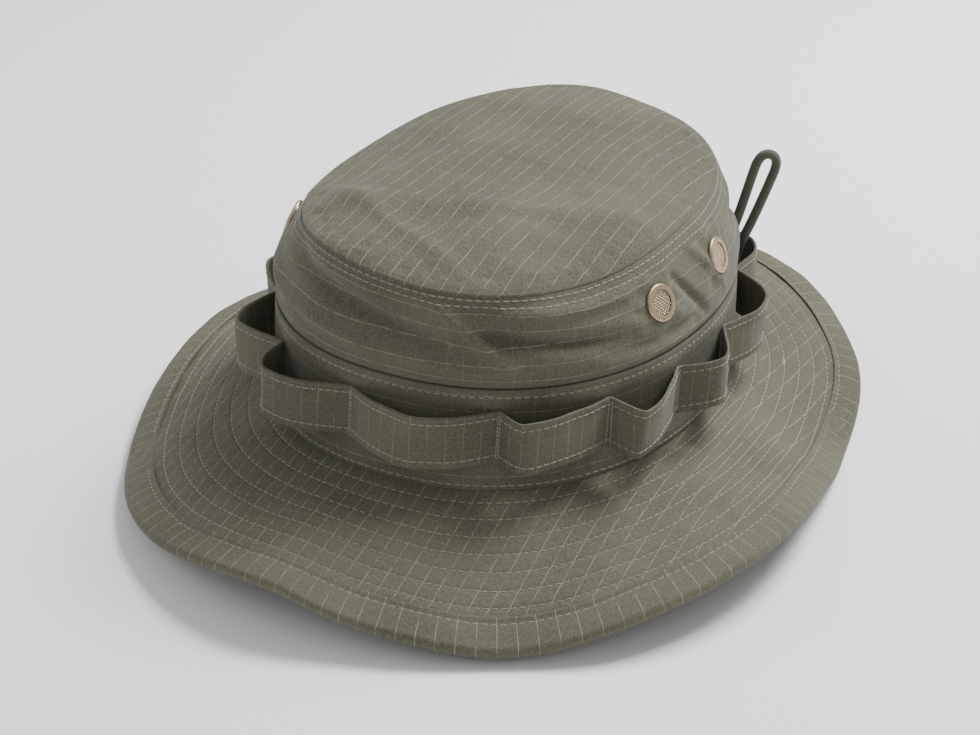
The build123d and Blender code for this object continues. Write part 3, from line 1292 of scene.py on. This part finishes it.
# ---- foliage ring ----------------------------------------------------------------------------
@dataclass
class FoliageRing:
    """Tape sewn to the band in loops."""

    finishes: Finishes
    thick: float = 0.9

    def bulge(self, angle: float, level: float) -> float:
        """How far the tape stands off the band.

        Args:
            angle: Angle round the crown.
            level: 0 at the tape's lower edge, 1 at its upper one.

        Returns:
            The distance in millimetres.
        """
        turn = angle % 360
        count = len(TAPE_LOOPS)
        index = max((i for i, loop in enumerate(TAPE_LOOPS) if loop[0] <= turn), default=count - 1)
        tack, bulge, peak = TAPE_LOOPS[index]
        span = (TAPE_LOOPS[(index + 1) % count][0] - tack) % 360
        share = ((turn - tack) % 360) / span
        peak += 0.05 * (level - 0.5) * math.sin(index * 2.4)
        if share < peak:
            shape = math.sin(share / peak * math.pi / 2) ** 1.15
        else:
            fall = (share - peak) / (1 - peak)
            shape = max(1 - fall, 0.0) ** 1.05 * (1 + 0.55 * fall * (1 - fall))
        lean = 1.0 + 0.10 * (level - 0.5) * math.cos(index * 1.7)
        return bulge * shape * lean

    def tape_point(self, angle: float, level: float, out: float = 0.0) -> Vector:
        """Point on the tape's outer face.

        Args:
            angle: Angle round the crown.
            level: 0 at the tape's lower edge, 1 at its upper one.
            out: Distance out of the tape.

        Returns:
            The point in millimetres.
        """
        height = TAPE_LOW + (TAPE_HIGH - TAPE_LOW) * level
        stand = self.bulge(angle, level)
        soft = rumple(crown_point(angle, height, stand), 12.0, 0.7) * min(1.0, stand / 4.0)
        droop = -0.08 * stand * math.sin(math.radians(angle * 9.0))
        edge = 0.25 * (bell(level / 0.05) + bell((1 - level) / 0.05))
        return crown_point(angle, height, 0.25 + self.thick + stand + soft + edge + out) + Vector(
            (0.0, 0.0, droop))

    def angles(self, count: int) -> list[float]:
        """Angles spaced evenly along the tape's own length.

        Args:
            count: Number of steps round the crown.

        Returns:
            The angles in degrees.
        """
        fine = 3600
        reached = reach([self.tape_point(360 * i / fine, 0.5) for i in range(fine + 1)])
        return [place * 360 / fine for place in even_places(reached, count)]

    def make(self) -> None:
        """Build the tape, its two rows of stitching and its tacks."""
        count = 900
        angles = self.angles(count)
        piece = make_sheet(
            "foliage_ring_tape", (count, 22), lambda u, v: self.tape_point(angles[round(u * count)], v),
            lambda u, v: (u * TAPE_ROUND, v * (TAPE_HIGH - TAPE_LOW)), self.finishes.tape)
        thicken(piece, self.thick)
        settle(piece, "foliage_ring")

        def angle_of(share: float) -> float:
            """Angle for a share of the tape's length.

            Args:
                share: Share of the tape's length.

            Returns:
                The angle in degrees.
            """
            step = min(int(share * count), count - 1)
            part = share * count - step
            return angles[step] * (1 - part) + angles[step + 1] * part

        def out(share: float) -> Vector:
            """Direction out of the tape.

            Args:
                share: Share of the tape's length.

            Returns:
                The direction.
            """
            angle = angle_of(share)
            run = self.tape_point(angle + 0.4, 0.5) - self.tape_point(angle - 0.4, 0.5)
            return run.cross(Vector((0, 0, 1)))

        rows = [
            Seam(f"tape_row_{i}", lambda s, v=level: self.tape_point(angle_of(s), v, 0.05), out,
                 stitch=3.0).make(self.finishes.thread)
            for i, level in enumerate((0.13, 0.87))
        ]
        for i, (tack, _, _) in enumerate(TAPE_LOOPS):
            for side in (-0.25, 0.25):
                rows.append(Seam(
                    f"tack_{i}_{side}",
                    lambda s, a=tack + side: self.tape_point(a, 0.05 + 0.9 * s, 0.1),
                    lambda s, a=tack: oval_normal(a, 87, 99), closed=False, stitch=1.5).make(
                        self.finishes.thread))
        settle(join_pieces("foliage_ring_stitching", rows), "")


# ---- vents -----------------------------------------------------------------------------------
@dataclass
class Vents:
    """Woven wire screens; the rings and washers keep their CAD shape."""

    finishes: Finishes
    wires: int = 11
    pitch: float = 0.86
    radius: float = 0.19

    def make_screen(self, spot: str) -> None:
        """Weave one screen inside its ring.

        Args:
            spot: The vent's name.
        """
        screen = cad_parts[f"vent_screen_{spot}"]
        centre = sum((Vector(v.co) for v in screen.data.vertices), Vector()) / len(screen.data.vertices) / MM
        axis = self.axis_of(screen)
        if axis.x * (1 if spot.startswith("left") else -1) < 0:
            axis.negate()
        up = Vector((0, 0, 1))
        along = up.cross(axis).normalized()
        up = axis.cross(along).normalized()
        bm = bmesh.new()
        rim = self.wires * self.pitch / 2 + 0.15
        for direction, across, phase in ((along, up, 0.0), (up, along, math.pi)):
            for i in range(self.wires):
                side = (i - (self.wires - 1) / 2) * self.pitch
                half = math.sqrt(max(rim**2 - side**2, 0.2))
                steps = max(6, round(half * 6))
                part = bmesh.new()
                bmesh.ops.create_grid(part, x_segments=steps, y_segments=5, size=0.5)
                for vert in part.verts:
                    way = vert.co.x * 2 * half
                    turn = (vert.co.y + 0.5) * math.tau
                    wave = math.cos(way / self.pitch * math.pi + phase + i * math.pi) * self.radius
                    middle = centre + direction * way + across * side + axis * (wave + 0.35)
                    vert.co = round_point(middle, across, axis, turn, self.radius) * MM
                bmesh.ops.remove_doubles(part, verts=part.verts, dist=1e-6)
                bmesh.ops.holes_fill(part, edges=[e for e in part.edges if e.is_boundary], sides=0)
                bmesh.ops.recalc_face_normals(part, faces=part.faces)
                mesh = bpy.data.meshes.new("wire")
                part.to_mesh(mesh)
                part.free()
                bm.from_mesh(mesh)
                bpy.data.meshes.remove(mesh)
        piece = make_object(f"vent_screen_{spot}_mesh", bm, self.finishes.mesh)
        settle(piece, f"vent_screen_{spot}")

    @staticmethod
    def axis_of(disc: bpy.types.Object) -> Vector:
        """Axis of a flat disc.

        Args:
            disc: The disc's object.

        Returns:
            The direction its largest faces look in.
        """
        biggest = sorted(disc.data.polygons, key=lambda p: -p.area)[:6]
        first = biggest[0].normal
        turned = (p.normal * (1 if p.normal.dot(first) > 0 else -1) for p in biggest)
        return sum(turned, Vector()).normalized()

    def make(self) -> None:
        """Dress the rings and washers and weave the screens."""
        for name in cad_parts:
            if name.startswith(("vent_ring", "vent_washer")):
                dress(name, self.finishes.brass)
            if name.startswith("vent_screen"):
                self.make_screen(name.removeprefix("vent_screen_"))


# ---- inside of the crown ---------------------------------------------------------------------
@dataclass
class Lining:
    """Sweatband, tape over the top seam and the blank size label."""

    finishes: Finishes

    def strip(
        self, name: str, node: str, heights: tuple[float, float], out: float, thick: float,
    ) -> None:
        """Make a strip of tape round the inside of the crown.

        Args:
            name: The piece's name.
            node: The node it stands for.
            heights: Lower and upper edge above the seam.
            out: Place of its inner face; inwards is negative.
            thick: Its thickness.
        """
        low, high = heights
        crown = Crown(self.finishes)

        def place(u: float, v: float) -> Vector:
            """Face of the strip, seen from inside.

            Args:
                u: Share round the crown.
                v: Share up the strip.

            Returns:
                The point in millimetres.
            """
            height = low + (high - low) * v
            soft = 0.35 * noise.noise(crown_point(u * 360, height) / 16)
            fold = crown.sag(u * 360, height)
            return crown_point(u * 360, height, out - soft * math.sin(math.pi * v) + fold)

        piece = make_sheet(
            name, (300, 14), place, lambda u, v: (u * LINING_ROUND, (high - low) * v), self.finishes.lining)
        thicken(piece, thick, 1.0)
        settle(piece, node)

    def make(self) -> None:
        """Build the lining."""
        self.strip("sweatband_cloth", "sweatband", (0.4, 31.0), -3.3, 0.8)
        self.strip("top_seam_tape_cloth", "top_seam_tape", (69.0, 74.6), -1.9, 0.6)
        row = Seam(
            "sweatband_row", lambda s: crown_point(s * 360, 28.6, -3.4),
            lambda s: -oval_normal(s * 360, 84, 98)).make(self.finishes.thread)
        settle(row, "")
        middle, half, wide, tall = 90.0, 10.2, 34.0, 16.0
        label = make_sheet(
            "size_label_cloth", (24, 12),
            lambda u, v: crown_point(middle - half + 2 * half * u, 8.0 + tall * v, -3.9),
            lambda u, v: (wide * u, tall * v), self.finishes.label, Close.OPEN)
        thicken(label, 0.35, 1.0)
        settle(label, "size_label")


# ---- chin cord and its lock ------------------------------------------------------------------
@dataclass
class ChinCord:
    """Braided cord with a barrel lock, its ends held under two tabs."""

    finishes: Finishes
    tab_wide: float = 9.2
    tab_deep: float = 7.8
    tabs: tuple[tuple[str, float, float, float], ...] = (
        ("right", 66.5, 8.5, 17.0), ("left", 113.0, 17.0, 0.0))

    def route(self) -> list[Vector]:
        """Points of the cord's smooth middle line, in metres.

        Returns:
            The points.
        """
        curve = bpy.data.curves.new("cord_line", "CURVE")
        curve.dimensions = "3D"
        curve.resolution_u = 24
        spline = curve.splines.new("NURBS")
        spline.points.add(len(CORD_ROUTE) - 1)
        for point, spot in zip(spline.points, CORD_ROUTE):
            point.co = (*((CENTRE + Vector(spot)) * MM), 1.0)
        spline.order_u = 3
        spline.use_endpoint_u = True
        carrier = bpy.data.objects.new("cord_line", curve)
        bpy.context.scene.collection.objects.link(carrier)
        line = bpy.data.meshes.new_from_object(carrier)
        points = [v.co.copy() for v in line.vertices]
        bpy.data.objects.remove(carrier, do_unlink=True)
        bpy.data.meshes.remove(line)
        return points

    def make_cord(self) -> tuple[bpy.types.Object, list[Vector], float]:
        """Round braid along the route.

        Returns:
            The piece, its middle line's points and the line's length, both in metres.
        """
        line = self.route()
        reached = reach(line)
        total = reached[-1]
        count = round(total / 0.0009)
        points = [
            line[int(place)].lerp(line[min(int(place) + 1, len(line) - 1)], place % 1)
            for place in even_places(reached, count)
        ]
        pairs = frames_along(points, False)
        radius = CORD_DIAMETER / 2
        sides, strands, turn_length = 20, 8, 9.0

        def skin(u: float, v: float) -> Vector:
            """Point on the braid.

            Args:
                u: Share along the cord.
                v: Share round it.

            Returns:
                The point in millimetres.
            """
            i = round(u * count)
            tangent, side = pairs[i]
            other = tangent.cross(side)
            turn = v * math.tau
            way = total / MM * u
            over = math.sin(strands / 2 * turn + way * math.tau / turn_length * 2)
            under = math.sin(strands / 2 * turn - way * math.tau / turn_length * 2)
            bumpy = 0.11 * max(abs(over), abs(under))
            spot = points[i] / MM
            held = min(1.0, max(0.0, (21.0 - (spot - LOCK_MIDDLE).length) / 5.0))
            return round_point(spot, side, other, turn, (radius - 0.08 + bumpy) * (1 - 0.12 * held))

        piece = make_sheet(
            "chin_cord_braid", (count, sides), skin, lambda u, v: (u * total / MM, v * 12.6),
            self.finishes.cord, Close.TUBE)
        cap_ends(piece)
        return settle(piece, "chin_cord"), points, total

    def make_tabs(self) -> list[bpy.types.Object]:
        """Cloth tabs sewn over the cord's ends.

        Returns:
            The two tabs.
        """
        pieces = []
        for side, angle, flat, turn in self.tabs:
            spot = brim_point(angle, flat)
            outward = (brim_point(angle, flat + 1) - spot).normalized()
            along = (brim_point(angle - 1, flat) - spot).normalized()
            up = along.cross(outward).normalized()
            outward = up.cross(along)
            swing = Matrix.Rotation(math.radians(turn), 3, up)
            along, outward = swing @ along, swing @ outward
            bm = bmesh.new()
            bmesh.ops.create_cube(bm, size=1.0)
            bmesh.ops.subdivide_edges(bm, edges=bm.edges, cuts=7, use_grid_fill=True)
            cloth = bm.loops.layers.uv.new("cloth")
            for face in bm.faces:
                for loop in face.loops:
                    x, y, z = loop.vert.co
                    loop[cloth].uv = (x * self.tab_wide, (y + z) * 8)
            for vert in bm.verts:
                x, y, z = vert.co
                crown = (z + 0.5) * (1 - (2 * y) ** 2 * 0.75)
                pinch = 1 - 0.06 * math.cos(2 * math.pi * x)
                vert.co = (spot + along * (x * self.tab_wide) + outward * (y * self.tab_deep * pinch)
                           + up * (0.35 + 4.5 * max(0.16 * (z + 0.5), crown))) * MM
            bmesh.ops.recalc_face_normals(bm, faces=bm.faces)
            piece = make_object(f"cord_tab_{side}_cloth", bm, self.finishes.tape)
            pieces.append(settle(piece, f"cord_tab_{side}"))
        return pieces

    def make_spring(self) -> bpy.types.Object:
        """Coil spring between the barrel's floor and the plunger.

        Returns:
            The piece.
        """
        low, rise, turns, coil, wire, count = -9.05, 3.0, 3.0, 3.4, 0.35, 144
        across = LOCK_AXIS.cross(LOCK_SIDE)
        points = []
        for i in range(count + 1):
            turn = math.tau * turns * i / count
            middle = LOCK_MIDDLE + LOCK_AXIS * (low + rise * i / count)
            points.append(round_point(middle, LOCK_SIDE, across, turn, coil))
        pairs = frames_along(points, False)

        def skin(u: float, v: float) -> Vector:
            """Point on the wire.

            Args:
                u: Share along the wire.
                v: Share round it.

            Returns:
                The point in millimetres.
            """
            i = round(u * count)
            tangent, side = pairs[i]
            return round_point(points[i], side, tangent.cross(side), v * math.tau, wire)

        piece = make_sheet(
            "cord_lock_spring_wire", (count, 10), skin, lambda u, v: (u * 64, v * 2.2),
            self.finishes.steel, Close.TUBE)
        cap_ends(piece)
        settle(piece, "cord_lock_spring", "cord_lock")
        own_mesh(piece)
        return piece

    def make(self) -> None:
        """Build the cord and dress its lock."""
        cord, path, length = self.make_cord()
        tabs = self.make_tabs()
        spring = self.make_spring()
        for name in ("cord_lock_body", "cord_lock_plunger"):
            dress(name, self.finishes.plastic)
        tuple(path[0])
        [tuple(p) for p in path]


# ---- studio ----------------------------------------------------------------------------------
@dataclass
class Studio:
    """Camera, soft lights and a pale floor."""

    aim: Vector = field(default_factory=lambda: Vector((0.0385, -0.0818, 0.0808)))
    camera_at: Vector = field(default_factory=lambda: Vector((0.3635, -0.7055, 0.4634)))
    lens: float = 81.35
    roll: float = 0.4

    def make_camera(self) -> None:
        """Place the camera."""
        data = bpy.data.cameras.new("camera")
        data.lens = self.lens
        data.sensor_width = 36.0
        data.clip_start = 0.01
        camera = bpy.data.objects.new("camera", data)
        look = (self.aim - self.camera_at).to_track_quat("-Z", "Y").to_matrix()
        camera.matrix_world = (
            Matrix.Translation(self.camera_at)
            @ (look @ Matrix.Rotation(math.radians(self.roll), 3, "Z")).to_4x4())
        bpy.context.scene.collection.objects.link(camera)
        bpy.context.scene.camera = camera

    def make_light(self, name: str, at: tuple[float, float, float], size: float, power: float) -> None:
        """Add one soft light that looks at the hat.

        Args:
            name: Its name.
            at: Its place in metres.
            size: Its side in metres.
            power: Its power in watts.
        """
        data = bpy.data.lights.new(name, "AREA")
        data.size = size
        data.energy = power
        lamp = bpy.data.objects.new(name, data)
        lamp.location = at
        lamp.rotation_euler = (Vector((0, 0, 0.06)) - Vector(at)).to_track_quat("-Z", "Y").to_euler()
        bpy.context.scene.collection.objects.link(lamp)

    def make_floor(self) -> None:
        """Pale floor."""
        g = Graph("floor paint")
        finish = g.finish({"Base Color": (0.92, 0.92, 0.92, 1.0), "Roughness": 0.9})
        bm = bmesh.new()
        bmesh.ops.create_grid(bm, x_segments=1, y_segments=1, size=6.0)
        floor = make_object("floor", bm, finish)

    def make(self) -> None:
        """Build the studio."""
        self.make_camera()
        self.make_floor()
        self.make_light("key", (0.45, 0.75, 1.35), 0.7, 46.0)
        self.make_light("fill", (-1.3, -0.5, 0.9), 1.0, 5.0)
        self.make_light("front", (0.6, -1.4, 1.1), 1.0, 3.0)
        world = bpy.data.worlds.new("room")
        world.use_nodes = True
        world.node_tree.nodes["Background"].inputs["Color"].default_value = (1.0, 1.0, 1.0, 1.0)
        world.node_tree.nodes["Background"].inputs["Strength"].default_value = 0.5
        bpy.context.scene.world = world


def main() -> None:
    """Build every piece of the hat and the studio round it."""
    logging.basicConfig(level=logging.INFO, format="%(name)s %(message)s")
    Studio().make()
    finishes = Finishes()
    for part in (ChinCord, Crown, Brim, FoliageRing, Vents, Lining):
        part(finishes).make()
        LOG.info("%s made", part.__name__)


if __name__ == "__main__":
    main()
